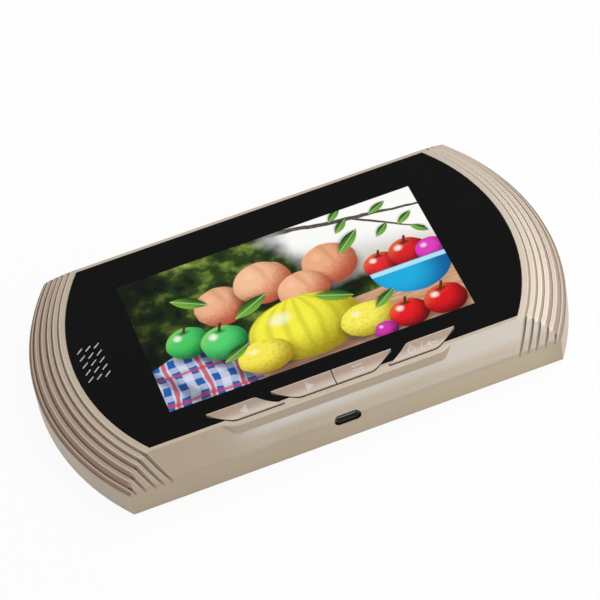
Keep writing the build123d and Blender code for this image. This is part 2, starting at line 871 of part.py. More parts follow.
with BuildPart() as camera_socket:
    # Shrouded socket for the cable of the outdoor camera, open to the free side of the recess.
    mouth_y = recess_y + recess_height / 2 - cable_socket_gap - cable_socket_depth
    socket_z = board_back - cable_socket_height / 2
    with BuildSketch(Plane.XZ.offset(-mouth_y)):
        with Locations((0, socket_z)):
            Rectangle(cable_socket_width, cable_socket_height)
    extrude(amount=-cable_socket_depth)
    with BuildSketch(Plane.XZ.offset(-mouth_y)):
        with Locations((0, socket_z)):
            walls = 2 * cable_socket_wall
            Rectangle(cable_socket_width - walls, cable_socket_height - walls)
    extrude(amount=cable_socket_wall - cable_socket_depth, mode=Mode.SUBTRACT)
    with BuildSketch(Plane.XZ.offset(cable_socket_wall - cable_socket_depth - mouth_y)):
        with Locations((0, socket_z)):
            with GridLocations(cable_pin_pitch, 0, cable_socket_pins, 1):
                Rectangle(cable_pin, cable_pin)
    extrude(amount=cable_pin_length)
save(camera_socket.part, "camera_socket")

with BuildPart() as rear_cover:
    with BuildSketch():
        add(end_outline(cover_half, cover_radius))
    extrude(amount=cover_thickness)
    chamfer(rear_cover.edges().group_by(Axis.Z)[0], cover_edge)
    # A skirt round the recess, up to the main board
    with BuildSketch(Plane.XY.offset(cover_thickness)):
        with Locations((0, recess_y)):
            Rectangle(recess_width + 2 * recess_wall, recess_height + 2 * recess_wall)
    extrude(amount=skirt_top - cover_thickness)
    # Recess, bracket slots and the slot of the power switch
    with BuildSketch():
        with Locations((0, recess_y)):
            Rectangle(recess_width, recess_height)
        with Locations((-hook_x, hook_y), (hook_x, hook_y)):
            SlotOverall(hook_length, hook_width, rotation=upright)
        with Locations((power_x, power_y)):
            Rectangle(knob_width + power_travel + 2 * knob_gap, knob_depth + 2 * knob_gap)
    extrude(amount=skirt_top + overrun, mode=Mode.SUBTRACT)
    corners = [(x * housing_boss_x, y * housing_boss_y, 0) for x in (-1, 1) for y in (-1, 1)]
    with Locations(*[Plane(origin=corner, z_dir=(0, 0, -1)) for corner in corners]):
        CounterSinkHole(
            housing_screw_radius + screw_gap,
            screw_head_radius + screw_sink + screw_gap,
            depth=cover_thickness,
            counter_sink_angle=countersink_angle,
        )
save(rear_cover.part, "rear_cover")

with BuildPart() as power_switch_body:
    with BuildSketch(Plane.XY.offset(power_face)):
        with Locations((power_x, power_y)):
            Rectangle(power_width, power_depth)
    extrude(amount=power_height)
    chamfer(power_switch_body.edges().group_by(Axis.Z)[0], power_edge)
    with BuildSketch(Plane.XY.offset(power_face)):
        with Locations((power_x, power_y)):
            Rectangle(lever_width + power_travel + 2 * knob_gap, lever_depth + 2 * knob_gap)
    extrude(amount=power_channel, mode=Mode.SUBTRACT)
save(power_switch_body.part, "power_switch_body")

with BuildPart() as power_switch_knob:
    # Drawn in the off position, at the left end of its slot.
    knob_x = power_x - power_travel / 2
    flange_low = cover_thickness + knob_gap
    flange_high = flange_low + knob_flange
    with BuildSketch(Plane.XY.offset(knob_sink)):
        with Locations((knob_x, power_y)):
            Rectangle(knob_width, knob_depth)
    extrude(amount=flange_low - knob_sink)
    with BuildSketch(Plane.XY.offset(knob_sink)):
        with Locations((knob_x, power_y)):
            with GridLocations(knob_ridge_pitch, 0, knob_ridges, 1):
                Rectangle(knob_ridge_width, knob_depth)
    extrude(amount=knob_ridge_depth, mode=Mode.SUBTRACT)
    with BuildSketch(Plane.XY.offset(flange_low)):
        with Locations((knob_x, power_y)):
            Rectangle(knob_width + 2 * knob_flange_reach, knob_depth + 2 * knob_flange_reach)
    extrude(amount=flange_high - flange_low)
    with BuildSketch(Plane.XY.offset(flange_high)):
        with Locations((knob_x, power_y)):
            Rectangle(lever_width, lever_depth)
    extrude(amount=knob_gap + lever_reach)
save(power_switch_knob.part, "power_switch_knob")

with BuildPart() as countersunk_screw:
    with BuildSketch(Plane.XZ):
        with BuildLine():
            Polyline(
                (0, screw_sink),
                (screw_head_radius, screw_sink),
                (housing_screw_radius, screw_sink + screw_head_radius - housing_screw_radius),
                (housing_screw_radius, screw_sink + housing_screw_length),
                (0, screw_sink + housing_screw_length),
                close=True,
            )
        make_face()
    revolve(axis=Axis.Z)

with BuildPart() as housing_screws:
    with GridLocations(2 * housing_boss_x, 2 * housing_boss_y, 2, 2):
        add(countersunk_screw.part)
save(housing_screws.part, "housing_screws")

with BuildPart() as board_screws:
    with BuildSketch(Plane.XY.offset(board_back)):
        with Locations(*board_screw_places):
            Circle(board_head_radius)
    extrude(amount=-board_head_height)
    with BuildSketch(Plane.XY.offset(board_back)):
        with Locations(*board_screw_places):
            Circle(board_screw_radius)
    extrude(amount=board_screw_length)
save(board_screws.part, "board_screws")
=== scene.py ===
from math import radians

import bpy
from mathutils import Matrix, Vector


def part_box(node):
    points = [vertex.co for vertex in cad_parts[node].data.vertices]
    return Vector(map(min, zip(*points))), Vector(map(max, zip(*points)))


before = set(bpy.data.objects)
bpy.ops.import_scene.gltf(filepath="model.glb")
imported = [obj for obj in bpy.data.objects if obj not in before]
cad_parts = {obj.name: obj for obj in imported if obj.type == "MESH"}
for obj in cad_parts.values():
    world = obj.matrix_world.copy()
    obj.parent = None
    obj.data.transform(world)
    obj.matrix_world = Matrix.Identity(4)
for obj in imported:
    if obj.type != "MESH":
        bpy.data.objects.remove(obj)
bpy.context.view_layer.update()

# Indoor monitor of a peephole door camera, lying on its back. Metres, in the frame of the CAD model.
scene = bpy.context.scene
scene.view_settings.view_transform = "Standard"
print("frame loaded with", len(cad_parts), "nodes")


class Signal:
    # One socket of a node tree, or none yet. Sums and products of signals add their Math nodes.
    def __init__(self, tree, socket=None):
        self.tree = tree
        self.socket = socket

    def make(self, kind, settings, inputs, output=0):
        # Any node: its kind, its settings, its inputs and the output that is wanted
        node = self.tree.nodes.new("ShaderNode" + kind)
        for name, value in settings.items():
            if name == "stops":
                setStops(node.color_ramp, value)
            else:
                setattr(node, name, value)
        for name, value in inputs.items():
            if isinstance(value, Signal):
                self.tree.links.new(value.socket, node.inputs[name])
            else:
                node.inputs[name].default_value = value
        return Signal(self.tree, node.outputs[output])

    def math(self, operation, first, second=0.0):
        return self.make("Math", {"operation": operation}, {0: first, 1: second})

    def __add__(self, other):
        return self.math("ADD", self, other)

    def __radd__(self, other):
        return self.math("ADD", other, self)

    def __sub__(self, other):
        return self.math("SUBTRACT", self, other)

    def __rsub__(self, other):
        return self.math("SUBTRACT", other, self)

    def __mul__(self, other):
        return self.math("MULTIPLY", self, other)

    def __rmul__(self, other):
        return self.math("MULTIPLY", other, self)

    def __truediv__(self, other):
        return self.math("DIVIDE", self, other)

    def __rtruediv__(self, other):
        return self.math("DIVIDE", other, self)

    def __abs__(self):
        return self.math("ABSOLUTE", self)

    def root(self):
        return self.math("SQRT", self)

    def over(self, other):
        return self.math("MAXIMUM", self, other)

    def under(self, other):
        return self.math("MINIMUM", self, other)

    def every(self, pitch):
        # Distance to the nearest of lines that come at this pitch
        return self.math("PINGPONG", self, pitch / 2)

    def fade(self, start, end):
        # Runs softly from 0 at start to 1 at end
        limits = {"Value": self, "From Min": start, "From Max": end}
        return self.make("MapRange", {"interpolation_type": "SMOOTHSTEP"}, limits)


def setStops(ramp, stops):
    while len(ramp.elements) < len(stops):
        ramp.elements.new(1.0)
    for element, (position, colour) in zip(ramp.elements, stops):
        element.position = position
        element.color = colour


def tint(red, green, blue):
    # A colour as a screen shows it, 0 to 255, turned into linear light
    def linear(value):
        value = value / 255
        return value / 12.92 if value < 0.04045 else ((value + 0.055) / 1.055) ** 2.4

    return linear(red), linear(green), linear(blue), 1.0


def mix(first, second, factor):
    return factor.make("Mix", {"data_type": "RGBA"}, {0: factor, 6: first, 7: second}, 2)


def ramp(signal, stops):
    # Colours at positions from 0 to 1, blended between
    return signal.make("ValToRGB", {"stops": stops}, {0: signal})


def grey(colour):
    return colour.make("RGBToBW", {}, {0: colour})


def components(vector):
    # x, y and z of a vector, as three signals
    split = vector.make("SeparateXYZ", {}, {0: vector})
    return [Signal(vector.tree, socket) for socket in split.socket.node.outputs]


def parts(place):
    # x, y and z in millimetres
    return components(place.make("VectorMath", {"operation": "SCALE"}, {0: place, "Scale": 1000.0}))


def directions(place):
    # Which way the surface faces, in the piece's own axes
    return components(place.make("TexCoord", {}, {}, "Normal"))


def joined(x, y, z=0.0):
    return x.make("CombineXYZ", {}, {0: x, 1: y, 2: z})


def span(x, y):
    return x.make("VectorMath", {"operation": "LENGTH"}, {0: joined(x, y)}, "Value")


def nearest(signal, places):
    # Distance to the nearest of these places
    distance = abs(signal - places[0])
    for other in places[1:]:
        distance = distance.under(abs(signal - other))
    return distance


def noise(place, size, detail=2.0):
    # Soft clouds of about this size in millimetres
    return place.make("TexNoise", {}, {"Vector": place, "Scale": 1000.0 / size, "Detail": detail})


def cells(place, size, output="Color"):
    # Small cells of this size in millimetres, each with a shade of its own
    return place.make("TexVoronoi", {}, {"Vector": place, "Scale": 1000.0 / size}, output)


def bump(height, strength, depth):
    # Depth in millimetres
    return height.make("Bump", {}, {"Strength": strength, "Distance": depth / 1000, "Height": height})


def finish(name, constants, paint):
    # A material: plain values on its sockets, and the signals that its paint gives
    surface = bpy.data.materials.new(name)
    surface.use_nodes = True
    tree = surface.node_tree
    shader = tree.nodes["Principled BSDF"]
    for socket, value in constants.items():
        shader.inputs[socket].default_value = value
    place = Signal(tree).make("TexCoord", {}, {}, "Object")
    for socket, value in paint(place).items():
        tree.links.new(value.socket, shader.inputs[socket])
    return surface


def dress(surface, *nodes):
    for node in nodes:
        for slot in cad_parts[node].material_slots:
            slot.material = surface


# Champagne paint. All lengths in the paints below are millimetres.
paintLook = {
    "colour": tint(199, 183, 162),
    "deepColour": tint(183, 163, 141),
    "lightColour": tint(218, 205, 188),
    "flakeSize": 0.16,
    "driftSize": 26.0,
    "peelSize": 0.55,
    "roughness": 0.42,
    "metallic": 0.25,
    "specular": 0.4,
    # Steps of the ends, which run round an upright axis this far from the middle
    "endAxis": 2.0,
    "grooves": [69.12, 71.2, 73.15, 75.49, 77.83],  # radii about that axis
    "crests": [68.61, 70.69, 72.57, 74.64, 76.82, 78.45],
    # Colours of painted shade and painted highlights on the steps
    "riserShade": tint(156, 122, 104),
    "riserRadii": (68.0, 76.0),
    "bandShadeRadii": (66.9, 74.0),
    "outerRadii": (73.2, 76.6),
    "rightShadeColour": tint(178, 165, 151),
    "rightRadii": (70.0, 75.0),
    "crestHighlight": tint(228, 214, 196),
    "crestRadii": (67.2, 67.6),
    "ridgeRadii": (68.2, 68.6),
    "grooveShade": tint(104, 80, 66),
    # Long walls, slanted from the border down to a crease and upright below it
    "border": 16.0,
    "crease": 8.0,
    "borderHalf": 39.1,
    "slope": 0.85,
    # Colours of painted light and painted shade on the walls
    "slantLight": tint(226, 222, 215),
    "uprightShade": tint(172, 148, 114),
    "footLight": tint(232, 214, 182),
    # Openings
    # Painted shade in the well behind the buttons, and the dark inside the port: its bare plastic and
    # painted shade
    "gapShade": tint(46, 34, 27),
    "buttonGap": {"edge": -39.65, "back": -31.0, "halfLength": 34.0, "top": 15.85},
    "portPlasticAndShade": tint(20, 19, 19),
    "port": {"height": 7.6, "halfWidth": 2.6, "round": 1.5, "wall": -45.75, "back": -40.0},
}


def satinPaint(place, look):
    # Fine flakes under a satin lacquer, with slow drifts of tone
    flakes = grey(cells(place, look["flakeSize"]))
    drift = noise(place, look["driftSize"], 3.0)
    tone = mix(look["deepColour"], look["colour"], drift.fade(0.1, 0.55) * 0.6 + 0.4)
    tone = mix(tone, look["lightColour"], flakes.fade(0.55, 1.0) * 0.55)
    tone = mix(tone, look["deepColour"], flakes.fade(0.35, 0.0) * 0.6)
    shine = look["roughness"] + (drift - 0.5) * 0.12 + (flakes - 0.5) * 0.1
    peel = noise(place, look["peelSize"], 2.0) + flakes * 0.3
    return tone, shine, peel


def shadeSteps(tone, look, x, y, z, facing, radius, groove, beyondWall):
    # Painted shade where steep faces hold less light, most of all at the left end, and painted
    # highlights where the edges catch it
    left = x.fade(30.0, -30.0)
    right = 1.0 - left
    onSteps = beyondWall.fade(0.0, -0.25) * z.fade(look["crease"] - 0.2, look["crease"] + 0.3)
    # The steps at the right end painted darker and greyer, as painted shade
    rightShading = onSteps * right * (radius.fade(*look["rightRadii"]) * 0.2 + 0.65)
    tone = mix(tone, look["rightShadeColour"], rightShading)
    # Painted shade in bands on the steps, at the left end and on the outer steps at the right
    bandShade = left * radius.fade(*look["bandShadeRadii"]) * (y.fade(-32.0, -12.0) * 0.18 + 0.2)
    bandShade = bandShade + right * radius.fade(*look["outerRadii"]) * 0.22
    tone = mix(tone, look["riserShade"], onSteps * bandShade)
    belowBorder = z.fade(look["border"] + 0.1, look["border"] - 0.1)
    # Painted shade on the steep faces of the steps, most at the left end
    risers = abs(facing[0]).fade(0.36, 0.6) * belowBorder * onSteps
    risers = risers * (left * radius.fade(*look["riserRadii"]) * 0.4 + left * 0.2 + 0.1)
    tone = mix(tone, look["riserShade"], risers)
    # Groove bottoms at the right end painted lighter, a painted highlight against their shade
    tone = mix(tone, look["crestHighlight"], groove.fade(0.45, 0.2) * onSteps * right * 0.35)
    # Painted highlights along the crests of the steps
    crests = nearest(radius + 0.16, look["crests"]).fade(0.26, 0.1) * facing[2].fade(0.3, 0.6)
    crests = crests * onSteps * radius.fade(*look["crestRadii"]) * (left * 0.35 + 0.25)
    return mix(tone, look["crestHighlight"], crests)


def shadeWalls(tone, look, x, y, z, facing, radius, groove, beyondWall):
    # Painted light where the slanted walls catch the light, painted shade where the upright faces turn
    # browner
    sideways = abs(facing[1]).fade(0.55, 0.7)
    slant = facing[2].fade(0.25, 0.46) * facing[2].fade(0.92, 0.8) * sideways
    # Painted light in a band above the crease, and painted shade on the slanted walls toward the left
    band = z.fade(10.0, 12.6) * (x.fade(-42.0, -18.0) * 0.8 - x.fade(-10.0, 30.0) * 0.3)
    tone = mix(tone, look["slantLight"], slant * (band + x.fade(0.0, 40.0) * 0.04))
    tone = mix(tone, look["deepColour"], slant * x.fade(-24.0, -42.0) * 0.6)
    belowBorder = z.fade(look["border"] + 0.1, look["border"] - 0.1)
    # Painted shade on the upright faces, and painted light on the foot below the crease, more toward
    # the right
    upright = facing[2].fade(0.42, 0.15) * sideways * belowBorder
    tone = mix(tone, look["uprightShade"], upright * 0.3)
    foot = upright * z.fade(look["crease"] + 0.2, look["crease"] - 0.6) * x.fade(68.0, 58.0)
    tone = mix(tone, look["footLight"], foot * (x.fade(-60.0, 60.0) * 0.26 + 0.05))
    # Grooves that run on down the slanted walls, each painted dark as shade between two painted
    # highlights along its edges
    onWall = (beyondWall - y.fade(0.0, 1.0) * 1.2).fade(-1.25, -1.1)
    onWall = onWall * z.fade(look["crease"] - 1.4, look["crease"] + 1.2)
    tone = mix(tone, look["grooveShade"], groove.fade(0.38, 0.16) * onWall * 0.8)
    # Painted highlights along both edges of each groove on the walls
    ridges = abs(groove - 0.66).fade(0.2, 0.08) * onWall * radius.fade(*look["ridgeRadii"])
    ridges = ridges * z.fade(look["crease"], look["crease"] + 2.0)
    return mix(tone, look["crestHighlight"], ridges * 0.4)


def shadeOpenings(tone, look, x, y, z):
    # Painted shade on the walls of the well behind the buttons
    gap = look["buttonGap"]
    inGap = y.fade(gap["edge"] - 0.1, gap["edge"] + 0.05) * y.fade(gap["back"], gap["back"] - 1.0)
    inGap = inGap * z.fade(gap["top"], gap["top"] - 0.2)
    inGap = inGap * abs(x).fade(gap["halfLength"], gap["halfLength"] - 0.5)
    tone = mix(tone, look["gapShade"], inGap * 0.9)
    # Inside the charging port painted dark: partly its bare plastic, partly painted shade
    port = look["port"]
    inPort = span((abs(x) - port["halfWidth"]).over(0.0), z - port["height"])
    inPort = inPort.fade(port["round"] + 0.12, port["round"] + 0.02)
    inPort = inPort * y.fade(port["wall"] - 0.1, port["wall"] + 0.1)
    inPort = inPort * y.fade(port["back"], port["back"] - 1.0)
    return mix(tone, look["portPlasticAndShade"], inPort)


def casePaint(place):
    look = paintLook
    tone, shine, peel = satinPaint(place, look)
    x, y, z = parts(place)
    facing = directions(place)
    radius = span(abs(x) - look["endAxis"], y)
    groove = nearest(radius, look["grooves"])
    beyondWall = abs(y) - look["borderHalf"] - (look["border"] - z) * look["slope"]
    tone = shadeSteps(tone, look, x, y, z, facing, radius, groove, beyondWall)
    tone = shadeWalls(tone, look, x, y, z, facing, radius, groove, beyondWall)
    tone = shadeOpenings(tone, look, x, y, z)
    return {"Base Color": tone, "Roughness": shine, "Normal": bump(peel, 0.16, 0.05)}


def gloss(look):
    return {"Metallic": look["metallic"], "Specular IOR Level": look["specular"]}


dress(finish("champagne_paint", gloss(paintLook), casePaint), "front_housing")

buttonLook = {
    "colour": tint(196, 178, 162),
    "deepColour": tint(182, 161, 145),
    "lightColour": tint(216, 203, 189),
    # Painted shade and painted light on the buttons' faces, and painted shade on their sides
    "frontShade": tint(170, 142, 125),
    "backLight": tint(232, 222, 210),
    "gapShade": tint(40, 30, 24),
    "flakeSize": 0.14,
    "driftSize": 26.0,
    "peelSize": 0.55,
    "roughness": 0.38,
    "metallic": 0.2,
    "specular": 0.4,
    "mark": tint(222, 221, 219),
    "markStrength": 0.5,
    "markHeight": -36.7,  # along y; the places of the marks are along x
    "leftArrow": -27.6,
    "rightArrow": -7.6,
    "arrowSize": 1.5,
    "bars": 7.6,
    "barPitch": 1.1,
    "power": 24.2,
    "powerRadius": 1.05,
    "slash": 27.3,
    "back": 30.2,
    "backSize": 0.9,
}


def arrowMark(x, y, side, size):
    # A triangle that points to this side
    ahead = x * side
    slope = abs(y) + ahead * 0.62
    reach, soft = size * 0.62, 0.08
    return slope.fade(reach + soft, reach - soft) * ahead.fade(-reach - soft, -reach + soft)


def buttonMarks(x, y):
    # Two arrows, three bars, the power sign, a slash and an arrow back
    look = buttonLook
    up = y - look["markHeight"]
    marks = arrowMark(x - look["leftArrow"], up, -1.0, look["arrowSize"])
    marks = marks.over(arrowMark(x - look["rightArrow"], up, 1.0, look["arrowSize"]))
    across = abs(x - look["bars"])
    marks = marks.over(
        abs(up).fade(1.35, 1.2) * up.every(look["barPitch"]).fade(0.24, 0.14) * across.fade(1.75, 1.6)
    )
    across = x - look["power"]
    ring = abs(span(across, up + 0.1) - look["powerRadius"]).fade(0.26, 0.14)
    marks = marks.over(ring * abs(across).fade(0.3, 0.45).over(up.fade(0.1, -0.1)))
    marks = marks.over(abs(across).fade(0.24, 0.14) * abs(up - 0.75).fade(0.85, 0.72))
    slash = abs(x - look["slash"] - up * 0.45)
    marks = marks.over(slash.fade(0.22, 0.1) * abs(up).fade(1.4, 1.25))
    across = x - look["back"]
    marks = marks.over(abs(up).fade(0.24, 0.14) * abs(across - 0.5).fade(1.3, 1.15))
    return marks.over(arrowMark(across + 0.6, up, -1.0, look["backSize"]))


def buttonPaint(place):
    tone, shine, peel = satinPaint(place, buttonLook)
    x, y, z = parts(place)
    facing = directions(place)
    # Faces turned to the front painted darker as shade, faces turned to the back painted lighter as
    # light
    tone = mix(tone, buttonLook["frontShade"], facing[1].fade(0.0, -0.4) * 0.55)
    tone = mix(tone, buttonLook["backLight"], facing[1].fade(-0.1, 0.25) * 0.5)
    # Painted shade on the sides of the buttons, below their tops
    sides = z.fade(16.1, 15.8) * facing[2].fade(0.5, 0.3)
    tone = mix(tone, buttonLook["gapShade"], sides * 0.9)
    marks = buttonMarks(x, y) * z.fade(15.0, 15.6)
    tone = mix(tone, buttonLook["mark"], marks * buttonLook["markStrength"])
    return {"Base Color": tone, "Roughness": shine + marks * 0.1, "Normal": bump(peel, 0.14, 0.04)}


buttonFinish = finish("button_paint", gloss(buttonLook), buttonPaint)
dress(buttonFinish, "left_button", "right_button", "menu_button", "power_button")
print("case and buttons painted")

# Black glass, and the garden picture that the display shows through it
pictureLook = {
    "middle": -1.1,  # height of the picture's middle, along y
    "halfWidth": 47.52,
    "halfHeight": 26.93,
    "foliageSize": 7.0,
    "foliage": [
        (0.36, tint(14, 24, 10)),
        (0.55, tint(44, 66, 22)),
        (0.68, tint(120, 140, 58)),
        (0.78, tint(196, 202, 120)),
    ],
    "wanderSize": 14.0,
    "wall": tint(206, 200, 190),
    "sky": tint(250, 250, 247),
    "dusk": tint(6, 10, 6),
    "branch": tint(40, 30, 22),
    "bark": tint(92, 72, 54),
    "table": tint(214, 168, 134),
    "tableDark": tint(150, 104, 74),
    "boardWidth": 6.5,
    "cloth": tint(38, 92, 168),
    "clothPale": tint(222, 226, 240),
    "clothRed": tint(196, 62, 78),
    "clothFold": tint(10, 20, 44),
    "clothTop": -3.0,
    "check": 5.2,
    "bowl": tint(28, 170, 222),
    "bowlDark": tint(10, 92, 152),
    "bowlRim": tint(176, 226, 244),
    "bowlPlace": (36.5, -2.6),
    "bowlSize": (13.0, 12.5),
    "blush": tint(212, 84, 58),
    "ripe": tint(240, 210, 110),
    "glint": tint(255, 255, 250),
    "stem": tint(74, 50, 26),
    "fruitShadow": tint(22, 14, 10),
    "leafLit": tint(112, 168, 62),
    "leafDark": tint(26, 78, 26),
    "leafVein": tint(176, 206, 120),
    "leafShadow": tint(14, 18, 8),
}

# Each fruit: kind, middle, half sizes, and the colours of its lit and shaded side
fruits = {
    "back": [
        ("peach", -21.0, 5.5, 8.2, 7.8, tint(238, 178, 140), tint(138, 70, 46)),
        ("peach", -6.5, 9.0, 9.0, 8.6, tint(244, 190, 150), tint(150, 78, 50)),
        ("peach", 14.5, 7.5, 8.6, 8.4, tint(236, 172, 130), tint(136, 66, 42)),
        ("peach", 4.0, 1.0, 8.0, 7.4, tint(242, 184, 142), tint(150, 74, 48)),
    ],
    "cloth": [
        ("apple", -34.5, -4.0, 6.6, 6.2, tint(70, 198, 98), tint(10, 92, 46)),
        ("apple", -24.5, -8.5, 7.2, 6.8, tint(82, 208, 110), tint(12, 100, 52)),
    ],
    "front": [
        ("melon", -0.5, -13.0, 17.5, 12.4, tint(244, 238, 66), tint(150, 130, 14)),
        ("lemon", -15.0, -19.0, 8.6, 6.4, tint(248, 234, 84), tint(160, 130, 16)),
        ("lemon", 17.5, -18.6, 8.8, 6.6, tint(248, 238, 90), tint(164, 138, 20)),
    ],
    "bowl": [
        ("apple", 28.5, -0.2, 5.6, 5.2, tint(224, 40, 46), tint(92, 4, 12)),
        ("apple", 37.6, 1.4, 6.2, 5.8, tint(216, 30, 38), tint(86, 4, 10)),
        ("plum", 44.4, -0.6, 5.0, 4.8, tint(220, 62, 186), tint(92, 8, 78)),
    ],
    "table": [
        ("apple", 29.0, -21.8, 6.2, 5.6, tint(226, 24, 32), tint(98, 2, 10)),
        ("apple", 40.8, -21.2, 6.6, 6.0, tint(218, 18, 28), tint(92, 2, 8)),
        ("plum", 20.6, -25.0, 3.6, 3.2, tint(206, 52, 170), tint(84, 8, 70)),
    ],
}
skinGloss = {"peach": 0.12, "melon": 0.5, "lemon": 0.4, "apple": 0.75, "plum": 0.6}

# Each leaf: middle, half length, half width and slope
leaves = {
    "bough": [
        (22.4, 25.7, 3.4, 1.3, 0.9),
        (22.7, 20.4, 3.4, 1.4, 1.0),
        (35.4, 22.9, 3.6, 1.3, 0.5),
        (33.6, 13.4, 3.3, 1.3, 0.9),
        (41.6, 15.2, 3.4, 1.3, 0.7),
        (44.2, 9.1, 3.2, 1.2, -1.0),
    ],
    "back": [
        (-13.0, 1.5, 6.5, 2.4, 0.5),
        (-29.5, 11.0, 6.0, 2.2, -0.6),
        (22.5, 13.5, 5.5, 2.0, 0.9),
    ],
    "front": [
        (-22.5, -14.2, 5.0, 1.8, 0.5),
        (11.2, -5.4, 6.0, 2.2, -0.45),
        (24.4, -13.2, 4.6, 1.7, 0.7),
    ],
}


def fruitSkin(kind, right, above, grain, lit, shaded):
    # Shaded round form, with what each kind shows on its skin
    light = span(right + 0.3, above - 0.4)
    skin = mix(lit, shaded, (light + grain * 0.3).fade(0.6, 1.65))
    if kind == "peach":
        skin = mix(skin, pictureLook["blush"], (right * 0.6 - above + grain).fade(0.2, 1.3) * 0.4)
        cleft = abs(span(right + 1.4, above - 0.1) - 1.55).fade(0.2, 0.0) * above.fade(-0.5, 0.5)
        skin = mix(skin, shaded, cleft * 0.25)
    if kind == "melon":
        ribs = right / (1.0 - above * above).over(0.05).root()
        skin = mix(skin, shaded, (ribs + grain * 0.05).every(0.3).fade(0.1, 0.0) * 0.3)
    if kind == "lemon":
        skin = mix(skin, shaded, grain.fade(0.5, 0.7) * 0.25)
    if kind == "apple":
        skin = mix(skin, pictureLook["ripe"], (above - right * 0.6 + grain).fade(0.7, 1.9) * 0.2)
        dimple = span(right / 0.42, (above - 0.7) / 0.2).fade(1.0, 0.2)
        skin = mix(skin, shaded, dimple * 0.8)
    spot = span(right + 0.36, above - 0.46).fade(0.28, 0.06)
    return mix(skin, pictureLook["glint"], spot * skinGloss[kind])


def addFruits(picture, place, x, y, group):
    grain = noise(place, 1.1, 3.0)
    sway = noise(place, 5.0, 1.0) - 0.5
    x, y = x + sway * 1.1, y + sway * 0.8
    for kind, across, up, halfWidth, halfHeight, lit, shaded in fruits[group]:
        right, above = (x - across) / halfWidth, (y - up) / halfHeight
        edge = span(right, above)
        picture = mix(picture, pictureLook["fruitShadow"], (edge + above * 0.22).fade(1.25, 0.8) * 0.6)
        skin = fruitSkin(kind, right, above, grain, lit, shaded)
        picture = mix(picture, skin, edge.fade(1.02, 0.97))
        if kind == "apple":
            stem = abs(right - (above - 0.7) * 0.35).fade(0.09, 0.05)
            stem = stem * abs(above - 0.93).fade(0.27, 0.21)
            picture = mix(picture, pictureLook["stem"], stem)
    return picture


def addLeaves(picture, x, y, group):
    for across, up, halfLength, halfWidth, slope in leaves[group]:
        length = (1 + slope * slope) ** 0.5
        along = ((x - across) + (y - up) * slope) / (length * halfLength)
        side = ((y - up) - (x - across) * slope) / (length * halfWidth)
        blade = abs(side) + along * along
        shade = (side * 0.7 + along * 0.4).fade(-0.6, 0.7)
        green = mix(pictureLook["leafLit"], pictureLook["leafDark"], shade)
        green = mix(green, pictureLook["leafVein"], abs(side).fade(0.14, 0.04) * 0.8)
        picture = mix(picture, pictureLook["leafShadow"], (blade - side * 0.2).fade(1.35, 0.9) * 0.35)
        picture = mix(picture, green, blade.fade(1.02, 0.96))
    return picture


def addBackdrop(place, x, y, wander):
    # Blurred foliage, with a light wall and sky to the upper right
    picture = ramp(noise(place, pictureLook["foliageSize"], 4.0), pictureLook["foliage"])
    opening = (x + y * 0.35 + wander * 16.0).fade(14.0, 25.0) * (y + wander * 8.0).fade(0.0, 5.0)
    distance = mix(pictureLook["wall"], pictureLook["sky"], (y + x * 0.2).fade(8.0, 22.0))
    picture = mix(picture, distance, opening)
    # Dusk gathers toward the left, where the picture meets the black glass
    picture = mix(picture, pictureLook["dusk"], x.fade(-22.0, -46.0) * 0.75)
    # A bough and its twig, thinner toward the end
    bough = abs(y - 25.0 + x * 0.17 - wander * 4.0) + (x - 12.0) * 0.012
    twig = abs(y - 40.0 + x * 0.72 - wander * 3.0) + y.fade(19.0, 9.0) * 0.25
    twig = twig.over(y.fade(21.8, 22.6)).over(y.fade(9.5, 8.5))
    wood = bough.fade(1.0, 0.75).over(twig.fade(0.65, 0.45))
    bark = mix(pictureLook["branch"], pictureLook["bark"], noise(place, 0.8, 3.0).fade(0.4, 0.7))
    return mix(picture, bark, wood * opening * 0.95)


def addTable(picture, x, y):
    # Pale boards, with their grain along x
    grain = noise(joined(x * 0.0002, y * 0.0016), 1.2, 4.0)
    down = y - x * 0.05
    boards = mix(pictureLook["table"], pictureLook["tableDark"], grain.fade(0.35, 0.75) * 0.7)
    joints = down.every(pictureLook["boardWidth"]).fade(0.22, 0.06) * 0.8
    boards = mix(boards, pictureLook["tableDark"], joints)
    return mix(picture, boards, down.fade(-9.6, -10.1))


def addCloth(picture, x, y, wander):
    # A checked cloth that hangs over the table's left end
    check, top = pictureLook["check"], pictureLook["clothTop"]
    foldX, foldY = x + wander * 5.0, y + wander * 4.0
    cloth = mix(pictureLook["cloth"], pictureLook["clothPale"], foldX.every(check).fade(1.5, 1.2) * 0.7)
    cloth = mix(cloth, pictureLook["clothPale"], foldY.every(check).fade(1.3, 1.0) * 0.55)
    cloth = mix(cloth, pictureLook["clothRed"], foldX.every(check * 2).fade(0.8, 0.5) * 0.85)
    rows = (foldY + check / 2).every(check * 2).fade(0.7, 0.4)
    cloth = mix(cloth, pictureLook["clothRed"], rows * 0.75)
    folds = (foldX * 0.6 + foldY * 0.5).every(11.0).fade(2.4, 0.6)
    cloth = mix(cloth, pictureLook["clothFold"], folds * 0.5)
    drape = (y + abs(x + 34.0) * 0.42 + wander * 3.0).fade(top, top - 0.5)
    return mix(picture, cloth, drape * x.fade(-17.6, -18.4))


def addBowl(picture, x, y):
    across, up = pictureLook["bowlPlace"]
    halfWidth, depth = pictureLook["bowlSize"]
    right, above = (x - across) / halfWidth, (y - up) / depth
    shade = span(right + 0.35, above + 0.25).fade(0.3, 1.2)
    side = mix(pictureLook["bowl"], pictureLook["bowlDark"], shade)
    side = mix(side, pictureLook["bowlRim"], abs(above + 0.08).fade(0.09, 0.05))
    return mix(picture, side, span(right, above).fade(1.0, 0.97) * above.fade(0.02, -0.02))


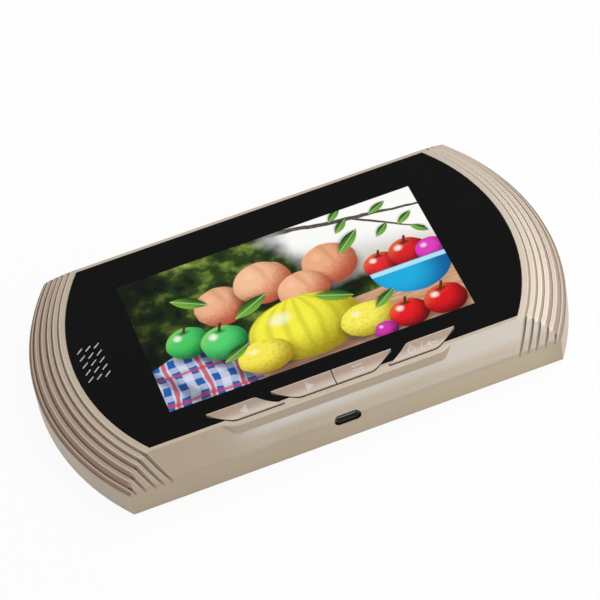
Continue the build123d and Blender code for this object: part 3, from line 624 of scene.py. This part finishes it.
def gardenPicture(place, x, y):
    # Painted from the back to the front
    wander = noise(place, pictureLook["wanderSize"], 3.0)
    picture = addBackdrop(place, x, y, wander)
    picture = addLeaves(picture, x, y, "bough")
    picture = addFruits(picture, place, x, y, "back")
    picture = addLeaves(picture, x, y, "back")
    picture = addTable(picture, x, y)
    picture = addCloth(picture, x, y, wander)
    picture = addFruits(picture, place, x, y, "cloth")
    picture = addFruits(picture, place, x, y, "bowl")
    picture = addBowl(picture, x, y)
    picture = addFruits(picture, place, x, y, "front")
    picture = addLeaves(picture, x, y, "front")
    return addFruits(picture, place, x, y, "table")


glassLook = {
    "black": tint(13, 13, 14),
    "dust": tint(40, 40, 42),
    "dustSize": 1.7,
    "ink": tint(8, 8, 9),
    "roughness": 0.1,
    "smudgeSize": 18.0,
    "face": 16.2,  # the picture is seen above this height only
    "specular": 0.04,
}


def glassPaint(place):
    x, y, z = parts(place)
    up = y - pictureLook["middle"]
    inside = abs(x).fade(pictureLook["halfWidth"] + 0.06, pictureLook["halfWidth"] - 0.06)
    inside = inside * abs(up).fade(pictureLook["halfHeight"] + 0.06, pictureLook["halfHeight"] - 0.06)
    face = z.fade(glassLook["face"], glassLook["face"] + 0.08)
    lit = mix((0.0, 0.0, 0.0, 1.0), gardenPicture(place, x, up), inside * face)
    smudge = noise(place, glassLook["smudgeSize"], 4.0).fade(0.52, 0.75)
    specks = cells(place, glassLook["dustSize"], "Distance").fade(0.045, 0.02)
    black = mix(glassLook["black"], glassLook["dust"], specks * 0.35)
    black = mix(black, glassLook["ink"], inside)
    shine = glassLook["roughness"] + smudge * 0.08 + specks * 0.2
    return {"Base Color": black, "Roughness": shine, "Emission Color": lit}


glassConstants = {"Specular IOR Level": glassLook["specular"], "Emission Strength": 1.0}
dress(finish("black_glass", glassConstants, glassPaint), "front_glass")
print("glass and picture painted")

# Metals
# The darker colour between the wires is painted shade
meshLook = {"wire": tint(252, 248, 240), "hollow": tint(150, 144, 134), "pitch": 0.42, "roughness": 0.3}


def wovenMesh(place):
    # Plain weave of fine wire, with painted shade between the wires
    x, y, _ = parts(place)
    pitch = meshLook["pitch"]
    wires = x.every(pitch).fade(0.16, 0.04).over(y.every(pitch).fade(0.16, 0.04))
    turn = (x + y).every(pitch * 2) / pitch
    return {
        "Base Color": mix(meshLook["hollow"], meshLook["wire"], wires),
        "Roughness": meshLook["roughness"] + noise(place, 2.0) * 0.2,
        "Normal": bump(wires + turn * 0.4, 0.6, 0.1),
    }


dress(finish("silver_mesh", {"Metallic": 0.3}, wovenMesh), "speaker_mesh")

sheetLook = {
    "light": tint(196, 196, 198),
    "dark": tint(140, 140, 144),
    "bloomSize": 9.0,
    "roughness": 0.26,
}


def rolledSteel(place):
    # Cold-rolled sheet: fine streaks along x, and a faint bloom
    x, y, z = parts(place)
    streaks = noise(joined(x * 0.0001, y * 0.004, z * 0.004), 1.0, 3.0)
    bloom = noise(place, sheetLook["bloomSize"], 3.0)
    cloud = (streaks * 0.6 + bloom * 0.4).fade(0.3, 0.65)
    return {
        "Base Color": mix(sheetLook["dark"], sheetLook["light"], cloud),
        "Roughness": sheetLook["roughness"] + streaks * 0.16,
        "Normal": bump(streaks, 0.12, 0.03),
    }


dress(finish("sheet_steel", {"Metallic": 1.0}, rolledSteel), "lcd_frame")


def grained(look):
    # Paint of one even grain: two tones, and a roughness and a bump that follow it
    def paint(place):
        grain = noise(place, look["grainSize"], 3.0)
        return {
            "Base Color": mix(look["colour"], look["grainColour"], grain.fade(*look["contrast"])),
            "Roughness": look["roughness"] + grain * look["spread"],
            "Normal": bump(grain, look["strength"], look["depth"]),
        }

    return paint


# Oxide-blacked shell of the charging socket
socketLook = {
    "colour": tint(92, 92, 94),
    "grainColour": tint(118, 118, 120),
    "grainSize": 0.5,
    "contrast": (0.35, 0.75),
    "roughness": 0.28,
    "spread": 0.2,
    "strength": 0.12,
    "depth": 0.03,
}
dress(finish("blacked_steel", {"Metallic": 0.7}, grained(socketLook)), "usb_socket")

screwLook = {
    "light": tint(196, 196, 198),
    "dark": tint(140, 140, 144),
    # The dark of the cross recesses is painted shade
    "recess": tint(34, 34, 36),
    "crystalSize": 0.5,
    "headRadius": 2.2,
    "rimRadius": 1.95,
    "roughness": 0.3,
}
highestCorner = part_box("housing_screws")[1]
screwX, screwY = [value * 1000 - screwLook["headRadius"] for value in highestCorner[:2]]


def platedSteel(place):
    # Zinc plate with a cross recess in each countersunk head, painted dark as shade and bumped
    x, y, z = parts(place)
    sparkle = grey(cells(place, screwLook["crystalSize"]))
    right, up = abs(abs(x) - screwX), abs(abs(y) - screwY)
    head = z.fade(0.3, 0.2)
    arms = right.fade(0.36, 0.28) * up.fade(1.3, 1.15)
    arms = arms.over(up.fade(0.36, 0.28) * right.fade(1.3, 1.15)) * head
    rim = abs(span(right, up) - screwLook["rimRadius"]).fade(0.16, 0.06) * head
    colour = mix(screwLook["light"], screwLook["dark"], sparkle.fade(0.3, 0.8) * 0.6)
    return {
        "Base Color": mix(colour, screwLook["recess"], arms * 0.9),
        "Roughness": screwLook["roughness"] + sparkle * 0.12 + arms * 0.3,
        "Normal": bump(rim * 0.5 - arms, 0.8, 0.25),
    }


dress(finish("screw_steel", {"Metallic": 1.0}, platedSteel), "housing_screws", "board_screws")

magnetLook = {
    "colour": tint(92, 92, 98),
    "grainColour": tint(150, 150, 156),
    "grainSize": 0.35,
    "contrast": (0.3, 0.7),
    "roughness": 0.35,
    "spread": 0.2,
    "strength": 0.15,
    "depth": 0.05,
}
dress(finish("magnet_steel", {"Metallic": 1.0}, grained(magnetLook)), "speaker_magnet")
print("metals done")

# Plastics and foam
backLook = {
    "colour": tint(44, 43, 43),
    "dark": tint(32, 31, 31),
    "mark": tint(168, 164, 158),
    "markHeight": -28.4,  # along y
    "offMark": 27.6,
    "onMark": 32.4,
    "grainSize": 0.28,
    "pitSize": 0.45,
    "driftSize": 34.0,
    "roughness": 0.55,
}


def sparkedPlastic(place):
    # Spark-eroded texture of the back cover, with the marks of the power switch
    x, y, z = parts(place)
    grain = noise(place, backLook["grainSize"], 3.0)
    pits = cells(place, backLook["pitSize"], "Distance")
    drift = noise(place, backLook["driftSize"], 2.0)
    colour = mix(backLook["dark"], backLook["colour"], (grain * 0.6 + drift * 0.4).fade(0.35, 0.6))
    up = y - backLook["markHeight"]
    offRing = abs(span(x - backLook["offMark"], up) - 0.85).fade(0.2, 0.08)
    onBar = abs(x - backLook["onMark"]).fade(0.2, 0.08) * abs(up).fade(1.1, 0.95)
    marks = offRing.over(onBar) * z.fade(0.2, 0.1)
    return {
        "Base Color": mix(colour, backLook["mark"], marks * 0.85),
        "Roughness": backLook["roughness"] + grain * 0.16 - marks * 0.15,
        "Normal": bump(grain + pits * 0.5 + marks * 0.8, 0.45, 0.09),
    }


dress(finish("rear_plastic", {"Specular IOR Level": 0.35}, sparkedPlastic), "rear_cover")

blackLook = {
    "colour": tint(26, 26, 27),
    "worn": tint(44, 44, 46),
    "grainSize": 0.4,
    "flowSize": 6.0,
    "roughness": 0.3,
}


def blackPlastic(place):
    # Smooth moulding with faint flow marks
    grain = noise(place, blackLook["grainSize"], 3.0)
    flow = noise(place, blackLook["flowSize"], 2.0)
    wear = (grain * 0.5 + flow * 0.5).fade(0.4, 0.75)
    return {
        "Base Color": mix(blackLook["colour"], blackLook["worn"], wear),
        "Roughness": blackLook["roughness"] + flow * 0.2,
        "Normal": bump(grain, 0.2, 0.04),
    }


dress(
    finish("black_plastic", {"Specular IOR Level": 0.5}, blackPlastic),
    "tact_switches", "power_switch_body", "power_switch_knob", "speaker_frame",
    "left_plunger", "right_plunger", "menu_plunger", "power_plunger",
)

tongueLook = {
    "dark": tint(196, 194, 190),
    "light": tint(222, 220, 216),
    "contact": tint(240, 232, 214),
    "contactPitch": 1.0,
    "grainSize": 0.5,
    "roughness": 0.32,
}


def contactTongue(place):
    # Grey moulding with five bright contacts along it
    x = parts(place)[0]
    contacts = x.every(tongueLook["contactPitch"]).fade(0.3, 0.2) * abs(x).fade(2.9, 2.8)
    grain = noise(place, tongueLook["grainSize"], 2.0)
    colour = mix(tongueLook["dark"], tongueLook["light"], grain.fade(0.3, 0.7))
    return {
        "Base Color": mix(colour, tongueLook["contact"], contacts * 0.5),
        "Roughness": tongueLook["roughness"] + grain * 0.1,
        "Normal": bump(contacts, 0.3, 0.05),
    }


dress(finish("contact_tongue", {}, contactTongue), "usb_tongue")

ivoryLook = {
    "colour": tint(224, 216, 196),
    "grainColour": tint(206, 196, 172),
    "grainSize": 3.0,
    "contrast": (0.35, 0.75),
    "roughness": 0.38,
    "spread": 0.14,
    "strength": 0.1,
    "depth": 0.05,
}
dress(finish("ivory_plastic", {}, grained(ivoryLook)), "ribbon_connector", "camera_socket")

diffuserLook = {
    "colour": tint(236, 238, 238),
    "dot": tint(214, 220, 224),
    "dotPitch": 0.9,
    "roughness": 0.42,
}


def whitePlastic(place):
    # Diffuser sheets of the display's light, faintly dotted
    x, y, _ = parts(place)
    pitch = diffuserLook["dotPitch"]
    dots = span(x.every(pitch), y.every(pitch)).fade(0.2, 0.1)
    return {
        "Base Color": mix(diffuserLook["colour"], diffuserLook["dot"], dots * 0.6),
        "Roughness": diffuserLook["roughness"] + dots * 0.2,
        "Normal": bump(dots, 0.15, 0.03),
    }


dress(finish("white_plastic", {}, whitePlastic), "lcd_backlight")

foamLook = {
    "dark": tint(26, 26, 27),
    "light": tint(54, 54, 56),
    "poreSize": 0.35,
    "lumpSize": 1.6,
    "roughness": 0.85,
}


def closedFoam(place):
    # Fine pores over soft lumps
    pores = cells(place, foamLook["poreSize"], "Distance")
    lumps = noise(place, foamLook["lumpSize"], 3.0)
    return {
        "Base Color": mix(foamLook["dark"], foamLook["light"], (pores + lumps * 0.4).fade(0.3, 0.8)),
        "Roughness": foamLook["roughness"] + pores * 0.1,
        "Normal": bump(pores + lumps, 0.5, 0.12),
    }


foam = finish("foam", {"Specular IOR Level": 0.2}, closedFoam)
dress(foam, "glass_tape", "lcd_gasket", "speaker_gasket", "battery_tape")
print("plastics done")

# Electronics
boardLook = {
    "mask": tint(16, 86, 52),
    "trace": tint(36, 118, 76),
    "gold": tint(216, 176, 96),
    "legend": tint(226, 230, 224),
    "tracePitch": 1.2,
    "padPitch": (5.4, 4.1),
    "legendPitch": (13.0, 7.0),
    "roughness": 0.36,
}


def printedBoard(place):
    # Solder mask over copper runs, with bare pads and a printed legend
    x, y, _ = parts(place)
    wander = noise(place, 16.0, 1.0)
    stepX = (x + wander * 24.0).every(boardLook["tracePitch"]).fade(0.26, 0.18)
    stepY = (y + wander * 18.0).every(boardLook["tracePitch"]).fade(0.26, 0.18)
    choose = noise(place, 11.0, 1.0)
    runs = stepX * choose.fade(0.52, 0.53) + stepY * choose.fade(0.46, 0.45)
    padX, padY = boardLook["padPitch"]
    pads = span(x.every(padX), y.every(padY)).fade(0.5, 0.42) * noise(place, 8.0, 1.0).fade(0.52, 0.54)
    legendX, legendY = boardLook["legendPitch"]
    legend = x.every(legendX).fade(0.16, 0.08) * y.every(legendY).fade(2.4, 2.3)
    legend = legend * choose.fade(0.5, 0.48)
    colour = mix(boardLook["mask"], boardLook["trace"], runs)
    colour = mix(colour, boardLook["gold"], pads)
    return {
        "Base Color": mix(colour, boardLook["legend"], legend * 0.8),
        "Roughness": boardLook["roughness"] - pads * 0.1 + legend * 0.2,
        "Metallic": pads * 0.9,
        "Normal": bump(runs * 0.5 + pads + legend * 0.4, 0.35, 0.05),
    }


dress(finish("board_green", {}, printedBoard), "main_board")

# Moulded epoxy with a fine matt grain
chipLook = {
    "colour": tint(30, 30, 32),
    "grainColour": tint(48, 48, 50),
    "grainSize": 0.3,
    "contrast": (0.35, 0.7),
    "roughness": 0.55,
    "spread": 0.2,
    "strength": 0.3,
    "depth": 0.04,
}
dress(finish("chip_black", {}, grained(chipLook)), "board_chips")

panelLook = {"cell": tint(40, 42, 46), "line": tint(26, 27, 30), "dotPitch": 0.6, "roughness": 0.12}


def panelGlass(place):
    # Switched-off display cell: dark grey, with its fine grid of dots
    x, y, _ = parts(place)
    pitch = panelLook["dotPitch"]
    grid = x.every(pitch).fade(0.1, 0.02).over(y.every(pitch).fade(0.1, 0.02))
    return {
        "Base Color": mix(panelLook["cell"], panelLook["line"], grid),
        "Roughness": panelLook["roughness"] + noise(place, 20.0, 2.0) * 0.08,
        "Normal": bump(grid, 0.05, 0.02),
    }


dress(finish("panel_glass", {}, panelGlass), "lcd_panel")

ribbonLook = {"film": tint(196, 116, 34), "copper": tint(226, 160, 76), "pitch": 1.0, "roughness": 0.3}


def amberFilm(place):
    # Copper lines under amber film
    lines = parts(place)[0].every(ribbonLook["pitch"]).fade(0.3, 0.22)
    return {
        "Base Color": mix(ribbonLook["film"], ribbonLook["copper"], lines),
        "Roughness": ribbonLook["roughness"] + noise(place, 3.0) * 0.12,
        "Normal": bump(lines, 0.3, 0.03),
    }


dress(finish("amber_film", {}, amberFilm), "lcd_ribbon")

foilLook = {
    "dark": tint(176, 178, 184),
    "light": tint(214, 216, 220),
    "roughness": 0.28,
    "seal": (28.6, 29.2),  # the crimped ends, along x
    "sealPitch": 1.0,
}


def batteryFoil(place):
    # Pouch foil with creases along the sealed edges
    x, y, z = parts(place)
    creases = noise(joined(x * 0.0006, y * 0.001, z * 0.001), 1.4, 4.0)
    seal = abs(x).fade(*foilLook["seal"]) * y.every(foilLook["sealPitch"]).fade(0.25, 0.05)
    return {
        "Base Color": mix(foilLook["dark"], foilLook["light"], creases.fade(0.3, 0.7)),
        "Roughness": foilLook["roughness"] + creases * 0.18,
        "Normal": bump(creases + seal * 0.4, 0.5, 0.2),
    }


dress(finish("battery_foil", {"Metallic": 0.85}, batteryFoil), "battery_pack")
print("electronics done")

# Floor, light and camera, in metres
studio = {
    "floor": 2.4,  # how far the floor reaches to the back and to each side
    "floorDown": 0.0002,  # clear of the back cover
    "floorColour": (0.9, 0.9, 0.9, 1.0),
    "floorRoughness": 0.9,
    "floorGlow": 0.93,  # share of plain white that the camera sees in the floor
    "white": (1.0, 1.0, 1.0, 1.0),
    "ambient": 0.38,
    "keyPlace": (0.64, 0.36, 0.78),
    "keyPower": 6.5,
    "keySize": 0.6,
    "keyColour": (0.97, 0.985, 1.0),
    "fillPlace": (0.34, -0.42, 0.38),
    "fillPower": 0.9,
    "fillSize": 0.35,
    "fillColour": (0.98, 0.99, 1.0),
}

# One triangle, so that no edge of it runs under the monitor
reach, down = studio["floor"], studio["floorDown"]
floorMesh = bpy.data.meshes.new("floor")
corners = [(0.0, reach, -down), (-reach, -reach / 2, -down), (reach, -reach / 2, -down)]
floorMesh.from_pydata(corners, [], [(0, 1, 2)])
floor = bpy.data.objects.new("floor", floorMesh)
scene.collection.objects.link(floor)


def seenDirectly(tree):
    # 1 for rays of the camera, of gloss and through glass, which see the white background
    path = Signal(tree).make("LightPath", {}, {}).socket.node
    kinds = ("Camera", "Glossy", "Transmission")
    rays = [Signal(tree, path.outputs["Is " + kind + " Ray"]) for kind in kinds]
    return rays[0].over(rays[1]).over(rays[2])


floorSurface = bpy.data.materials.new("pale_floor")
floorSurface.use_nodes = True
floorTree = floorSurface.node_tree
matt = floorTree.nodes["Principled BSDF"]
matt.inputs["Base Color"].default_value = studio["floorColour"]
matt.inputs["Roughness"].default_value = studio["floorRoughness"]
matt.inputs["Specular IOR Level"].default_value = 0.0
seen = seenDirectly(floorTree)
glow = seen.make("Emission", {}, {"Color": studio["white"], "Strength": 1.0})
shadowed = Signal(floorTree, matt.outputs[0])
blend = seen.make("MixShader", {}, {0: seen * studio["floorGlow"], 1: shadowed, 2: glow})
# Looked at from below, the floor isn't there
below = seen.make("NewGeometry", {}, {}, "Backfacing")
blend = seen.make("MixShader", {}, {0: below, 1: blend, 2: seen.make("BsdfTransparent", {}, {})})
floorTree.links.new(blend.socket, floorTree.nodes["Material Output"].inputs["Surface"])
floorMesh.materials.append(floorSurface)

world = bpy.data.worlds.new("studio")
world.use_nodes = True
scene.world = world
background = world.node_tree.nodes["Background"]
background.inputs["Color"].default_value = studio["white"]
level = studio["ambient"] + seenDirectly(world.node_tree) * (1 - studio["ambient"])
world.node_tree.links.new(level.socket, background.inputs["Strength"])


def softLight(name):
    lamp = bpy.data.lights.new(name + "_light", "AREA")
    lamp.energy = studio[name + "Power"]
    lamp.size = studio[name + "Size"]
    lamp.color = studio[name + "Colour"]
    holder = bpy.data.objects.new(name + "_light", lamp)
    holder.location = studio[name + "Place"]
    holder.rotation_euler = holder.location.to_track_quat("Z", "Y").to_euler()
    scene.collection.objects.link(holder)


softLight("key")
softLight("fill")

cameraSetup = {
    "place": (-0.103152, -0.505974, 0.567651),
    "turn": (42.419343, 7.341416, -19.715204),  # degrees
    "lens": 152.016,
    "sensor": 36.0,
    "nearest": 0.01,
}
camera = bpy.data.objects.new("camera", bpy.data.cameras.new("camera"))
camera.location = cameraSetup["place"]
camera.rotation_euler = [radians(angle) for angle in cameraSetup["turn"]]
camera.data.lens = cameraSetup["lens"]
camera.data.sensor_width = cameraSetup["sensor"]
camera.data.clip_start = cameraSetup["nearest"]
scene.collection.objects.link(camera)
scene.camera = camera
print("studio ready")
